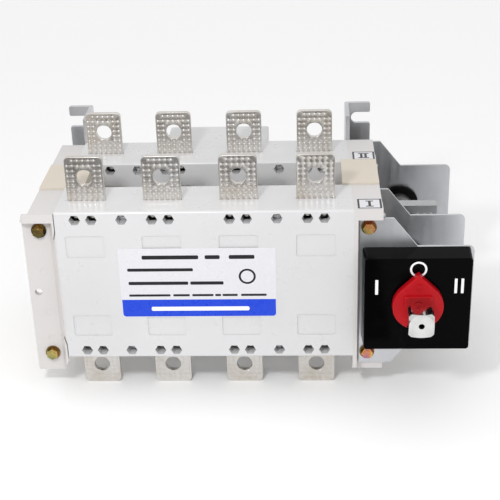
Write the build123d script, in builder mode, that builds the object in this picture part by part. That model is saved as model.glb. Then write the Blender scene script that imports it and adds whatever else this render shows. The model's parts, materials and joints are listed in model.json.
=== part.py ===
from build123d import *
import math
import os

os.makedirs("parts", exist_ok=True)

# A four-pole changeover switch of the 250 A class: two load switches, I in front and II behind, worked by
# one rotary handle through a pair of racks. X runs along the poles, Z is up, the handle looks towards -Y.
# The origin lies in the mounting plane (Y = 0), at mid height and midway between the middle poles.

# ---- Driving dimensions, millimetres -------------------------------------------------------------------
pole_pitch = 50.0
pole_centres = [(index - 1.5) * pole_pitch for index in range(4)]
unit_fronts = (-158.0, -73.8)          # front faces of switch I and switch II
unit_depth = 41.5
cover_depth = 18.5                     # from the front face to the parting plane
half_height = 54.0
housing_left, housing_right = -93.5, 99.2
wall = 2.5
barrier = 2.0

terminal_width = 25.0
terminal_thickness = 3.5
terminal_reach = 84.7                  # tip of a terminal above or below mid height
terminal_hole_radius = 5.5
terminal_hole_height = 70.4
blade_width = 8.0
blade_end = 15.0                       # inner end of a fixed blade above mid height

axis_x, axis_z = 140.25, -8.5          # the drive shaft runs along Y here
handle_travel = 60.0                   # degrees each way from O
gear_module = 1.5
gear_teeth = 18
pitch_radius = gear_module * gear_teeth / 2
stroke = pitch_radius * math.radians(handle_travel)
contact_offset = 3.0                   # moving contacts at O, to the right of their pole

shaft_radius = 6.0
running_clearance = 0.05
seat_clearance = 0.03

opening_row = 48.4                     # hexagonal openings above and below mid height
tie_x = {"left": -106.0, "right": 109.0}
tie_z = {"left": (38.1, -54.3), "right": (39.3, -53.3)}
tie_radius = 2.5
tie_hole_radius = 2.9

plate_thickness = 2.0
front_plate_y = unit_fronts[0] + 6.0
middle_plate_y = unit_fronts[0] + 61.0
rear_plate_y = -5.0
bay_bolt_centres = [(135.0, -34.5), (168.5, -35.0)]
panel_screw_centres = [(125.0, 18.0), (160.0, 18.0), (125.0, -37.0), (160.0, -37.0)]
bracket_screw_centres = [(110.0, 30.0), (110.0, -45.0)]

bracket_sheet = 3.0
foot_screw_centres = [(-26.0, 44.0), (33.5, 44.0), (-26.0, -44.0), (33.5, -44.0)]


# ---- Helpers -------------------------------------------------------------------------------------------
def front_plane(depth):
    """The plane Y = depth seen from the front: local x is X and local y is Z."""
    return Plane.XZ.offset(-depth)


def block(x_limits, y_limits, z_limits, mode=Mode.ADD):
    """Add or cut a box between three pairs of limits, in the open part."""
    limits = (x_limits, y_limits, z_limits)
    with Locations(tuple(sum(pair) / 2 for pair in limits)):
        Box(*(abs(pair[1] - pair[0]) for pair in limits), mode=mode)


def rods(centres, radius, y_limits, mode=Mode.ADD):
    """Add or cut round bars along Y at the (x, z) centres, in the open part."""
    with BuildSketch(front_plane(y_limits[1])) as discs:
        with Locations(*centres):
            Circle(radius)
    extrude(discs.sketch, amount=y_limits[1] - y_limits[0], mode=mode)


def hexagons(centres, across_flats, y_limits, mode=Mode.ADD, turn=0.0):
    """Add or cut hexagonal bars along Y at the (x, z) centres, in the open part; turn is in degrees."""
    with BuildSketch(front_plane(y_limits[1])) as prisms:
        with Locations(*centres):
            RegularPolygon(across_flats / 2, 6, major_radius=False, rotation=turn)
    extrude(prisms.sketch, amount=y_limits[1] - y_limits[0], mode=mode)


def outline(points, y_limits, mode=Mode.ADD):
    """Add or cut a prism along Y whose (x, z) outline is the closed polygon, in the open part."""
    with BuildSketch(front_plane(y_limits[1])) as profile:
        with BuildLine():
            Polyline(*points, close=True)
        make_face()
    extrude(profile.sketch, amount=y_limits[1] - y_limits[0], mode=mode)


def prism_along_x(points, x_limits, mode=Mode.ADD):
    """Add or cut a prism along X whose (y, z) outline is the closed polygon, in the open part."""
    with BuildSketch(Plane.YZ.offset(x_limits[0])) as profile:
        with BuildLine():
            Polyline(*points, close=True)
        make_face()
    extrude(profile.sketch, amount=x_limits[1] - x_limits[0], mode=mode)


def prism_along_z(points, z_limits, mode=Mode.ADD):
    """Add or cut a prism along Z whose (x, y) outline is the closed polygon, in the open part."""
    with BuildSketch(Plane.XY.offset(z_limits[0])) as profile:
        with BuildLine():
            Polyline(*points, close=True)
        make_face()
    extrude(profile.sketch, amount=z_limits[1] - z_limits[0], mode=mode)


def save(part, name):
    """Label a finished piece and write it as one STEP file."""
    part.label = name
    export_step(part, f"parts/{name}.step")


# ---- Switch housings -----------------------------------------------------------------------------------
recess_width, recess_height, recess_depth = 25.5, 15.6, 0.7
recess_row = 29.2
hole_pair_offset = 5.4
hexagon_flats = 6.6
sleeve_radius, sleeve_depth = 5.0, 7.0
boss_radius = 4.0
screw_seat_depth = 9.0                 # a cover screw sits deeper than the other openings reach
screw_hole_radius = 1.8
screw_centres = [(x, z) for x in (-pole_pitch, pole_pitch) for z in (-opening_row, opening_row)]
bar_half_height = 10.0
bar_front, bar_back = 12.5, 28.0       # depth of the contact carrier behind the unit's front face
bar_gap = 0.6
gear_front, gear_back = 15.25, 25.25   # depth of a rack and its pinion behind the unit's front face
rack_root = axis_z + pitch_radius + 1.25 * gear_module
rack_top = rack_root + 5.6


def cell_limits():
    """X limits of the four arcing cells, between the barriers and the end walls."""
    barriers = (-pole_pitch, 0.0, pole_pitch)
    starts = [housing_left + wall] + [x + barrier / 2 for x in barriers]
    ends = [x - barrier / 2 for x in barriers] + [housing_right - wall]
    return list(zip(starts, ends))


def cut_carrier_passage(front):
    """Cut the way of the contact carrier and the rack through barriers and end walls."""
    passage = (front + bar_front - bar_gap, front + bar_back + bar_gap)
    height = bar_half_height + bar_gap
    block((housing_left, housing_right), passage, (-height, height), Mode.SUBTRACT)
    rack_way = (front + gear_front - bar_gap, front + gear_back + bar_gap)
    block((housing_right - wall, housing_right), rack_way, (0, rack_top + bar_gap), Mode.SUBTRACT)


def make_cover(front):
    """Front half of a switch housing, with barriers, hexagonal openings and moulded recesses."""
    parting = front + cover_depth
    inner = half_height - wall
    with BuildPart() as cover:
        block((housing_left, housing_right), (front, parting), (-half_height, half_height))
        fillet(cover.edges().filter_by(Axis.X).group_by(Axis.Y)[0], 1.6)
        for limits in cell_limits():
            block(limits, (front + wall, parting), (-inner, inner), Mode.SUBTRACT)
        openings = [(x + side * hole_pair_offset, z)
                    for x in pole_centres for side in (-1, 1) for z in (-opening_row, opening_row)]
        rods(openings, sleeve_radius, (front + wall / 2, front + sleeve_depth))
        rods(screw_centres, sleeve_radius, (front + wall / 2, front + screw_seat_depth + wall))
        rods(screw_centres, boss_radius, (front + screw_seat_depth, parting))
        hexagons(openings, hexagon_flats, (front, front + sleeve_depth), Mode.SUBTRACT)
        hexagons(screw_centres, hexagon_flats, (front, front + screw_seat_depth), Mode.SUBTRACT)
        rods(screw_centres, screw_hole_radius, (front + screw_seat_depth, parting), Mode.SUBTRACT)
        with BuildSketch(front_plane(front + recess_depth)):
            with Locations(*[(x, side * recess_row) for x in pole_centres for side in (-1, 1)]):
                RectangleRounded(recess_width, recess_height, 1.5)
        extrude(amount=recess_depth, mode=Mode.SUBTRACT)
        cut_carrier_passage(front)
    return cover.part


def make_base(front):
    """Rear half of a switch housing, with slots for the terminals and screw bosses."""
    parting, back = front + cover_depth, front + unit_depth
    inner = half_height - wall
    slot_half = terminal_width / 2 + 0.1
    with BuildPart() as base:
        block((housing_left, housing_right), (parting, back), (-half_height, half_height))
        for limits in cell_limits():
            block(limits, (parting, back - wall), (-inner, inner), Mode.SUBTRACT)
        rods(screw_centres, boss_radius, (parting, back - wall / 2))
        rods(screw_centres, 1.5, (parting, back - wall), Mode.SUBTRACT)
        rods(foot_screw_centres, boss_radius, (back - 14.0, back - wall / 2))
        rods(foot_screw_centres, 1.8, (back - 14.0, back), Mode.SUBTRACT)
        for x in pole_centres:
            slot = (x - slot_half, x + slot_half)
            block(slot, (parting, parting + terminal_thickness), (-half_height, -inner), Mode.SUBTRACT)
            block(slot, (parting, parting + terminal_thickness), (inner, half_height), Mode.SUBTRACT)
        cut_carrier_passage(front)
    return base.part


def make_cover_screws():
    """The eight flanged screws with round sockets that hold both covers to their bases."""
    with BuildPart() as screws:
        for front in unit_fronts:
            seat = front + screw_seat_depth
            rods(screw_centres, 3.2, (seat - 1.2, seat))
            rods(screw_centres, 2.7, (seat - 1.2, seat - 0.6), Mode.SUBTRACT)
            rods(screw_centres, 1.9, (seat - 2.0, seat))
            rods(screw_centres, 0.95, (seat - 2.0, seat - 0.8), Mode.SUBTRACT)
            rods(screw_centres, 1.45, (seat, front + 36.0))
    return screws.part


for number, front in enumerate(unit_fronts, start=1):
    save(make_cover(front), f"front_cover_{number}")
    save(make_base(front), f"rear_housing_{number}")
save(make_cover_screws(), "cover_screws")

# ---- End frames and spacers ----------------------------------------------------------------------------
flange_front, flange_back = 8.0, 12.0
flange_bottom, lip_bottom = -68.0, 46.5
frame_bottom = -60.0
frame_top = {"left": 52.6, "right": half_height}
frame_reach = {"left": 17.5, "right": 18.3}       # outer wall, outwards from the housing's end plane
flange_reach = {"left": (23.5, 17.5), "right": (20.4, 20.4)}      # switch I, switch II
lip_reach = {"left": 17.5, "right": 18.6}
rim_foot_width = {"left": 5.6, "right": 3.2}
rim_edge_width = {"left": 0.9, "right": 2.8}
rim_broad_edge = 2.0                              # left rim near its ends, where it is joined to the lip
rim_broad_spans = [(34.5, 52.6), (flange_bottom, -38.5)]
joint_width, joint_depth = 0.7, 2.5


def outward(side, distance):
    """X at a distance outwards from the housing's end plane on one side."""
    return housing_left - distance if side == "left" else housing_right + distance


def span(side, near, far):
    """X limits between two distances outwards from the housing's end plane, in rising order."""
    return tuple(sorted((outward(side, near), outward(side, far))))


def add_rim(side, front, edge_width, z_limits):
    """Add a length of the sloping rim, edge_width wide in front and broader at its foot."""
    slope = [
        (outward(side, 0), front),
        (outward(side, edge_width), front),
        (outward(side, rim_foot_width[side]), front + flange_front),
        (outward(side, 0), front + flange_front),
    ]
    prism_along_z(slope, z_limits)


def cut_left_joints(front):
    """Cut the two narrow joints that run down the left rim's ends and turn out to its edge."""
    upper = [(0, 53.0), (joint_width, 53.0), (joint_width, 40.8), (2.0, 34.5), (1.2, 34.5), (0, 40.0)]
    lower = [(1.2, -38.5), (2.0, -38.5), (joint_width, -44.5), (joint_width, -55.5), (0, -55.5), (0, -43.8)]
    for joint in (upper, lower):
        points = [(outward("left", offset), z) for offset, z in joint]
        outline(points, (front, front + joint_depth), Mode.SUBTRACT)


def add_hood(front):
    """Add the outer end of the left lip on switch I: a hood with a sloping back and bevelled corners."""
    top = frame_top["left"]
    root, tip = outward("left", lip_reach["left"]), outward("left", 23.3)
    beyond = tip - 2.0
    foot = front + flange_front + 0.6
    profile = [(front, lip_bottom), (front, top), (front + 2.0, top), (foot, lip_bottom)]
    with BuildPart(mode=Mode.PRIVATE) as hood:
        prism_along_x(profile, (tip, root + 1.0))
        outer_slope = [(tip, lip_bottom), (tip + 2.0, top), (beyond, top), (beyond, lip_bottom)]
        outline(outer_slope, (front, foot), Mode.SUBTRACT)
        front_bevel = [(tip + 2.9, front), (tip, front + 2.0), (beyond, front + 2.0), (beyond, front)]
        prism_along_z(front_bevel, (lip_bottom, top), Mode.SUBTRACT)
    add(hood.part)


def make_end_frame(side, front):
    """Moulded end frame: bolting flange set back behind a lip and a sloping rim, open on its outer side."""
    reach, top = frame_reach[side], frame_top[side]
    unit = unit_fronts.index(front)
    with BuildPart() as frame:
        block(span(side, 0, reach), (front + flange_front, front + unit_depth), (frame_bottom, top))
        flange = (front + flange_front, front + flange_back)
        block(span(side, 0, flange_reach[side][unit]), flange, (flange_bottom, lip_bottom))
        block(span(side, 0, lip_reach[side]), (front, front + flange_back), (lip_bottom, top))
        add_rim(side, front, rim_edge_width[side], (flange_bottom, top))
        pocket_depth = (front + flange_back, front + unit_depth - 3.0)
        pocket_height = (frame_bottom + 3.5, top - 3.5)
        block(span(side, 2.5, reach), pocket_depth, pocket_height, Mode.SUBTRACT)
        bolts = [(tie_x[side], z) for z in tie_z[side]]
        rods(bolts, tie_hole_radius, (front + flange_front, front + unit_depth), Mode.SUBTRACT)
        if side == "left":
            for limits in rim_broad_spans:
                add_rim(side, front, rim_broad_edge, limits)
            cut_left_joints(front)
            corner = [(outward(side, -1.0), -52.3), (outward(side, 5.2), flange_bottom),
                      (outward(side, -1.0), flange_bottom)]
            outline(corner, (front, front + flange_back), Mode.SUBTRACT)
            marks = [(-105.8, 7.6), (-105.3, -23.1), (-105.9, -43.8)]
            rods(marks, 2.7, (front + flange_front, front + flange_front + 0.25), Mode.SUBTRACT)
            if unit == 0:
                add_hood(front)
                rods([(-111.1, -7.7)], 2.5, flange, Mode.SUBTRACT)
        else:
            slant = [(front, -62.6), (front + flange_front, flange_bottom), (front, flange_bottom)]
            prism_along_x(slant, span(side, 0, rim_foot_width[side]), Mode.SUBTRACT)
            height = (-bar_half_height - bar_gap, rack_top + bar_gap)
            passage = (front + bar_front - bar_gap, front + bar_back + bar_gap)
            block(span(side, 0, 2.5), passage, height, Mode.SUBTRACT)
    return frame.part


def make_spacer(side):
    """Block between the two switches, standing a little above their frames and keyed under the rear lip."""
    front, back = unit_fronts[0] + unit_depth, unit_fronts[1]
    inner = {"left": -12.5, "right": -6.2}[side]
    top = frame_top[side] + 1.2
    with BuildPart() as spacer:
        block(span(side, inner, frame_reach[side]), (front, back), (frame_bottom, top))
        key = span(side, rim_foot_width[side] + 0.9, frame_reach[side] - 0.5)
        block(key, (back, back + flange_front), (frame_bottom, lip_bottom - 0.5))
        if side == "right":
            slot = (middle_plate_y, middle_plate_y + plate_thickness)
            block((103.0, 118.0), slot, (frame_bottom, 42.0), Mode.SUBTRACT)
        bolts = [(tie_x[side], z) for z in tie_z[side]]
        rods(bolts, tie_hole_radius, (front, back + flange_front), Mode.SUBTRACT)
    return spacer.part


for number, front in enumerate(unit_fronts, start=1):
    for side in ("left", "right"):
        save(make_end_frame(side, front), f"{side}_end_frame_{number}")
for side in ("left", "right"):
    save(make_spacer(side), f"{side}_spacer")

# ---- Terminals with their fixed contact blades ---------------------------------------------------------
blade_offsets = (contact_offset - stroke, contact_offset + stroke)
arm_low, arm_high = 32.0, 40.0
stud_radius = 1.55                     # clamp studs whose ends show in the hexagonal openings


def make_terminal(pole, front, blade_offset, direction):
    """Flat terminal bar: bored tab outside, narrow blade inside; direction is 1 for up and -1 for down."""
    depth = (front + cover_depth, front + cover_depth + terminal_thickness)
    tab = (pole - terminal_width / 2, pole + terminal_width / 2)
    blade = (pole + blade_offset - blade_width / 2, pole + blade_offset + blade_width / 2)
    arm = (min(tab[0], blade[0]), max(tab[1], blade[1]))
    with BuildPart() as terminal:
        stages = ((tab, arm_low, terminal_reach), (arm, arm_low, arm_high), (blade, blade_end, arm_high))
        for limits, low, high in stages:
            block(limits, depth, tuple(sorted((direction * low, direction * high))))
        corners = terminal.edges().filter_by(Axis.Y).sort_by(lambda edge: -direction * edge.center().Z)
        fillet(corners[:2], 3.0)
        rods([(pole, direction * terminal_hole_height)], terminal_hole_radius, depth, Mode.SUBTRACT)
        studs = [(pole + offset, direction * opening_row) for offset in (-hole_pair_offset, hole_pair_offset)]
        rods(studs, stud_radius, (front + sleeve_depth, depth[0]))
    return terminal.part


for number, front in enumerate(unit_fronts, start=1):
    for index, pole in enumerate(pole_centres, start=1):
        for row, direction in (("upper", 1), ("lower", -1)):
            terminal = make_terminal(pole, front, blade_offsets[number - 1], direction)
            save(terminal, f"{row}_terminal_{number}_{index}")

# ---- Sliding contact carriers --------------------------------------------------------------------------
bar_left, bar_right = -78.0, 110.0
rack_left, rack_right = 94.0, 163.3
slot_half_width = 4.3
slot_front, slot_back = 14.5, 26.0
bridge_half_height = 23.0
bridge_thickness = 2.0
bridge_fronts = (16.2, 22.3)           # the fixed blade stands between the two bridge plates
leaf_thickness, leaf_half_height, leaf_width = 0.5, 8.0, 7.0
rack_screw_x = (98.5, 104.5)


def make_carrier(front):
    """Insulating bar with one window per pole for the contact bridge and a seat for the rack."""
    with BuildPart() as carrier:
        bar_depth = (front + bar_front, front + bar_back)
        block((bar_left, bar_right), bar_depth, (-bar_half_height, bar_half_height))
        fillet(carrier.edges().filter_by(Axis.X), 1.0)
        for pole in pole_centres:
            centre = pole + contact_offset
            window = (centre - slot_half_width, centre + slot_half_width)
            window_depth = (front + slot_front, front + slot_back)
            block(window, window_depth, (-bar_half_height, bar_half_height), Mode.SUBTRACT)
        seat = (front + gear_front, front + gear_back)
        block((rack_left, bar_right), seat, (rack_root, bar_half_height), Mode.SUBTRACT)
        with Locations(*[(x, front + (gear_front + gear_back) / 2, rack_root) for x in rack_screw_x]):
            Hole(1.5, depth=10.0)
    return carrier.part


def make_bridges(front):
    """Four pairs of contact plates that close the gap between the upper and lower fixed blades."""
    with BuildPart() as bridges:
        for pole in pole_centres:
            centre = pole + contact_offset
            for plate_front in bridge_fronts:
                depth = (front + plate_front, front + plate_front + bridge_thickness)
                plate = (centre - blade_width / 2, centre + blade_width / 2)
                block(plate, depth, (-bridge_half_height, bridge_half_height))
        fillet(bridges.edges().filter_by(Axis.Y), 1.5)
    return bridges.part


def leaf_profile(ends_depth, crown_depth):
    """Closed (y, z) outline of one bowed leaf; both arcs keep the leaf's thickness at mid height."""
    step = leaf_thickness if crown_depth < ends_depth else -leaf_thickness
    with BuildSketch(Plane.YZ) as leaf:
        with BuildLine():
            near = ThreePointArc((ends_depth - step, -leaf_half_height), (crown_depth, 0),
                                 (ends_depth - step, leaf_half_height))
            far = ThreePointArc((ends_depth, -leaf_half_height), (crown_depth + step, 0),
                                (ends_depth, leaf_half_height))
            Line(near @ 0, far @ 0)
            Line(near @ 1, far @ 1)
        make_face()
    return leaf.sketch


def make_leaf_springs(front):
    """Bowed leaves that press each pair of contact plates together, one leaf before and one behind."""
    front_leaf = leaf_profile(front + bridge_fronts[0], front + slot_front)
    rear_leaf = leaf_profile(front + bridge_fronts[1] + bridge_thickness, front + slot_back)
    with BuildPart() as springs:
        for pole in pole_centres:
            left_edge = Location((pole + contact_offset - leaf_width / 2, 0, 0))
            extrude(front_leaf.moved(left_edge), amount=leaf_width)
            extrude(rear_leaf.moved(left_edge), amount=leaf_width)
    return springs.part


def make_rack(front):
    """Steel rack with its teeth down, screwed on the right end of the carrier."""
    circular_pitch = math.pi * gear_module
    flank_slope = math.tan(math.radians(20.0))
    pitch_line = axis_z + pitch_radius
    tip = pitch_line - gear_module
    half_tooth = circular_pitch / 4 - 0.12
    tip_half = half_tooth - gear_module * flank_slope
    root_half = half_tooth + (rack_root - pitch_line) * flank_slope
    depth = (front + gear_front, front + gear_back)
    with BuildPart() as rack:
        block((rack_left, rack_right), depth, (rack_root, rack_top))
        for index in range(-6, 5):
            centre = axis_x + (index + 0.5) * circular_pitch
            tooth = [
                (centre - root_half, rack_root + 0.01),
                (centre - tip_half, tip),
                (centre + tip_half, tip),
                (centre + root_half, rack_root + 0.01),
            ]
            outline(tooth, depth)
        with Locations(*[(x, sum(depth) / 2, rack_top) for x in rack_screw_x]):
            CounterSinkHole(1.6, 3.0)
    return rack.part


for number, front in enumerate(unit_fronts, start=1):
    save(make_carrier(front), f"contact_carrier_{number}")
    save(make_bridges(front), f"contact_bridges_{number}")
    save(make_leaf_springs(front), f"leaf_springs_{number}")
    save(make_rack(front), f"rack_{number}")

# ---- Handle, drive shaft and pinions -------------------------------------------------------------------
panel_front = unit_fronts[0] - 9.5
dial_back = panel_front - 0.5
dial_front = panel_front - 6.0
dial_radius = 16.5
collar_front = dial_front - 1.5
socket_front = unit_fronts[0] - 40.0
socket_half_width, socket_half_height = 8.0, 8.1
socket_face_radius = 8.0               # turned face; a 30 degree cone runs back from it over the corners
socket_corner_radius = 10.2
socket_wall = 1.5
shaft_front = dial_front - 12.0
shaft_back = -1.5
pinion_backlash = 0.12
sleeve_front, sleeve_back = -17.0, -8.5
axis = [(axis_x, axis_z)]


def involute_gear():
    """Outline of the pinion about the shaft axis, with one tooth straight up and involute flanks."""
    pressure_angle = math.radians(20.0)
    base_radius = pitch_radius * math.cos(pressure_angle)
    root_radius = pitch_radius - 1.25 * gear_module
    tip_radius = pitch_radius + gear_module
    involute = math.tan(pressure_angle) - pressure_angle
    half_at_pitch = math.pi / (2 * gear_teeth) - pinion_backlash / pitch_radius
    flank = [(root_radius, half_at_pitch + involute)]
    for step in range(5):
        radius = base_radius + (tip_radius - base_radius) * step / 4
        angle = math.acos(min(1.0, base_radius / radius))
        flank.append((radius, half_at_pitch + involute - (math.tan(angle) - angle)))
    points = []
    for tooth in range(gear_teeth):
        middle = 2 * math.pi * tooth / gear_teeth
        for radius, half in flank + [(radius, -half) for radius, half in reversed(flank)]:
            turned = middle - half
            points.append((axis_x + radius * math.sin(turned), axis_z + radius * math.cos(turned)))
    return points


def make_pinions():
    """The two equal pinions, one under each rack, with a short hub behind the teeth."""
    with BuildPart() as pinions:
        for front in unit_fronts:
            outline(involute_gear(), (front + gear_front, front + gear_back))
            rods(axis, 9.0, (front + gear_back - 1.0, front + gear_back + 2.4))
            rods(axis, shaft_radius + seat_clearance, (front + gear_front, front + 30.0), Mode.SUBTRACT)
    return pinions.part


def make_dial():
    """Drop-shaped pointer dial with a collar round the handle socket and a hub through the panel."""
    tangent = dial_radius * math.sqrt(0.5)
    tip = dial_radius * math.sqrt(2.0)
    with BuildPart() as dial:
        with BuildSketch(front_plane(dial_back)):
            with Locations((axis_x, axis_z)):
                Circle(dial_radius)
                Polygon((0, 0), (tangent, tangent), (0, tip), (-tangent, tangent), align=None)
        extrude(amount=dial_back - dial_front)
        fillet(dial.faces().sort_by(Axis.Y)[0].edges(), 1.2)
        with BuildSketch(front_plane(dial_front)):
            with Locations((axis_x, axis_z)):
                RectangleRounded(2 * socket_half_width + 2.0, 2 * socket_half_height + 1.2, 1.0)
        extrude(amount=dial_front - collar_front)
        fillet(dial.faces().sort_by(Axis.Y)[0].edges(), 0.3)
        rods([(axis_x, axis_z + 14.6)], 2.6, (dial_front - 0.5, dial_front))
        rods([(axis_x, axis_z + 14.6)], 1.7, (dial_front - 0.5, dial_front), Mode.SUBTRACT)
        rods(axis, 11.0, (dial_back, panel_front + 3.0))
        rods(axis, shaft_radius + seat_clearance, (collar_front, panel_front + 3.0), Mode.SUBTRACT)
    return dial.part


def make_socket():
    """Bright steel cap on the shaft's end, a square tube closed in front, where a lever is pushed on."""
    half_width, half_rise = socket_half_width, socket_half_height
    depth = (socket_front, collar_front)
    length = depth[1] - depth[0]
    cone_back_radius = socket_face_radius + length / math.tan(math.radians(30.0))
    with BuildPart() as socket:
        with BuildSketch(front_plane(depth[1])):
            with Locations((axis_x, axis_z)):
                Rectangle(2 * half_width, 2 * half_rise)
                Circle(socket_corner_radius, mode=Mode.INTERSECT)
        extrude(amount=length)
        with Locations(Location((axis_x, sum(depth) / 2, axis_z), (-90, 0, 0))):
            Cone(socket_face_radius, cone_back_radius, length, mode=Mode.INTERSECT)
        with BuildSketch(front_plane(depth[1])):
            with Locations((axis_x, axis_z)):
                Rectangle(2 * (half_width - socket_wall), 2 * (half_rise - socket_wall))
        extrude(amount=length - socket_wall, mode=Mode.SUBTRACT)
        rods(axis, 1.9, depth, Mode.SUBTRACT)
        # end plate that seats on the dial's collar, held by the shaft's shoulder
        block((axis_x - half_width + 1.0, axis_x + half_width - 1.0), (collar_front - 2.0, collar_front),
              (axis_z - half_rise + 1.0, axis_z + half_rise - 1.0))
        rods(axis, shaft_radius + seat_clearance, (collar_front - 2.0, collar_front), Mode.SUBTRACT)
    return socket.part


save(make_dial(), "dial")
save(make_socket(), "handle_socket")
save(make_pinions(), "pinions")

with BuildPart() as drive_shaft:
    rods(axis, shaft_radius, (shaft_front, shaft_back))
    chamfer(drive_shaft.edges().filter_by(GeomType.CIRCLE), 0.8)
save(drive_shaft.part, "drive_shaft")

with BuildPart() as shaft_sleeve:
    rods(axis, 9.5, (sleeve_front, sleeve_back))
    rods(axis, shaft_radius + seat_clearance, (sleeve_front, sleeve_back), Mode.SUBTRACT)
save(shaft_sleeve.part, "shaft_sleeve")

# ---- Mechanism bay: plates, bushes, spacers and the handle panel ---------------------------------------
bay_tube_radius, bay_tube_bore, bay_bolt_radius = 3.5, 2.15, 2.0
bush_sleeve_radius = 9.0
rear_bush_flange, rear_bush_sleeve = 14.5, 10.0
panel_x, panel_z = (105.0, 175.0), (-43.2, 24.7)                  # at the back
panel_face_x, panel_face_z = (105.9, 174.7), (-42.9, 23.6)        # drafted towards the front
panel_wall = 2.0


def make_plate(depth, half_waist, half_end, right_edge, shaft_hole, holes, hole_radius):
    """Sheet plate across the bay: broad round the shaft, narrower where the tie bolts hold it."""
    slope = 1.26
    narrow_x = 125.0
    wide_x = narrow_x + (half_end - half_waist) / slope
    left_edge = 103.4
    upper = [(left_edge, half_end), (narrow_x, half_end), (wide_x, half_waist), (right_edge, half_waist)]
    lower = [(x, -z) for x, z in reversed(upper)]
    points = [(x, axis_z + z) for x, z in upper + lower]
    limits = (depth, depth + plate_thickness)
    with BuildPart() as plate:
        outline(points, limits)
        corners = plate.edges().filter_by(Axis.Y).group_by(Axis.X)[-1]
        fillet(corners, 4.0)
        rods(axis, shaft_hole, limits, Mode.SUBTRACT)
        rods(bay_bolt_centres, bay_bolt_radius + 0.15, limits, Mode.SUBTRACT)
        rods(holes, hole_radius, limits, Mode.SUBTRACT)
    return plate.part


tie_holes = [(tie_x["right"], z) for z in tie_z["right"]]
front_half_waist, front_half_end = 33.5, 53.5
rear_half_waist, rear_half_end = 30.8, 50.5

with BuildPart() as front_plate:
    add(make_plate(front_plate_y, front_half_waist, front_half_end, 177.5, bush_sleeve_radius, tie_holes,
                   tie_hole_radius))
    rods(panel_screw_centres, 1.7, (front_plate_y, front_plate_y + plate_thickness), Mode.SUBTRACT)
save(front_plate.part, "front_plate")

with BuildPart() as middle_plate:
    add(make_plate(middle_plate_y, rear_half_waist, rear_half_end, 178.3, bush_sleeve_radius, tie_holes,
                   tie_hole_radius))
    notch = (tie_x["right"] - tie_hole_radius, tie_x["right"] + tie_hole_radius)
    block(notch, (middle_plate_y, middle_plate_y + plate_thickness), (tie_holes[0][1], half_height),
          Mode.SUBTRACT)
save(middle_plate.part, "middle_plate")

save(make_plate(rear_plate_y, rear_half_waist, rear_half_end, 178.3, rear_bush_sleeve, bracket_screw_centres,
                2.2), "rear_plate")

with BuildPart() as plate_bushes:
    for plate_back, flange_side in ((front_plate_y + plate_thickness, 1), (middle_plate_y, -1)):
        flange_limits = tuple(sorted((plate_back, plate_back + flange_side * 2.5)))
        sleeve_limits = tuple(sorted((plate_back, plate_back - flange_side * plate_thickness)))
        rods(axis, 11.0, flange_limits)
        rods(axis, bush_sleeve_radius, sleeve_limits)
    bore = (front_plate_y - 5.0, middle_plate_y + 5.0)
    rods(axis, shaft_radius + running_clearance, bore, Mode.SUBTRACT)
save(plate_bushes.part, "plate_bushes")

with BuildPart() as rear_bush:
    rods(axis, rear_bush_flange, (rear_plate_y - 3.0, rear_plate_y))
    fillet(rear_bush.edges().filter_by(GeomType.CIRCLE).sort_by(Axis.Y)[0], 0.8)
    rods(axis, rear_bush_sleeve, (rear_plate_y, rear_plate_y + plate_thickness))
    rods(axis, shaft_radius + running_clearance, (rear_plate_y - 4.0, 0), Mode.SUBTRACT)
save(rear_bush.part, "rear_bush")

front_bay = (front_plate_y + plate_thickness, middle_plate_y)
rear_bay = (middle_plate_y + plate_thickness, rear_plate_y)
with BuildPart() as bay_spacers:
    for limits in (front_bay, rear_bay):
        rods(bay_bolt_centres, bay_tube_radius, limits)
        rods(bay_bolt_centres, bay_tube_bore, limits, Mode.SUBTRACT)
save(bay_spacers.part, "bay_spacers")

nut_limits = (rear_plate_y + plate_thickness, -0.8)
with BuildPart() as bay_bolts:
    rods(bay_bolt_centres, 3.5, (front_plate_y - 2.4, front_plate_y))
    fillet(bay_bolts.edges().filter_by(GeomType.CIRCLE).group_by(Axis.Y)[0], 1.0)
    rods(bay_bolt_centres, bay_bolt_radius, (front_plate_y, nut_limits[0]))
save(bay_bolts.part, "bay_bolts")

with BuildPart() as bay_nuts:
    hexagons(bay_bolt_centres, 7.0, nut_limits)
save(bay_nuts.part, "bay_nuts")

with BuildPart() as handle_panel:
    ends = ((front_plate_y, panel_x, panel_z), (panel_front, panel_face_x, panel_face_z))
    for depth, x_limits, z_limits in ends:
        with BuildSketch(front_plane(depth)):
            with Locations((sum(x_limits) / 2, sum(z_limits) / 2)):
                RectangleRounded(x_limits[1] - x_limits[0], z_limits[1] - z_limits[0], 2.0)
    loft()
    fillet(handle_panel.faces().sort_by(Axis.Y)[0].edges(), 0.6)
    inside_x = (panel_x[0] + panel_wall, panel_x[1] - panel_wall)
    inside_z = (panel_z[0] + panel_wall, panel_z[1] - panel_wall)
    block(inside_x, (panel_front + panel_wall, front_plate_y), inside_z, Mode.SUBTRACT)
    rods(panel_screw_centres, 3.2, (panel_front + panel_wall / 2, front_plate_y))
    rods(panel_screw_centres, 1.35, (front_plate_y - 9.0, front_plate_y), Mode.SUBTRACT)
    rods(axis, 11.5, (panel_front, panel_front + panel_wall), Mode.SUBTRACT)
save(handle_panel.part, "handle_panel")

screw_head = (front_plate_y + plate_thickness, front_plate_y + plate_thickness + 2.0)
with BuildPart() as panel_screws:
    rods(panel_screw_centres, 2.8, screw_head)
    fillet(panel_screws.edges().filter_by(GeomType.CIRCLE).group_by(Axis.Y)[-1], 0.9)
    rods(panel_screw_centres, 1.3, (front_plate_y - 8.0, screw_head[0]))
save(panel_screws.part, "panel_screws")

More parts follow.
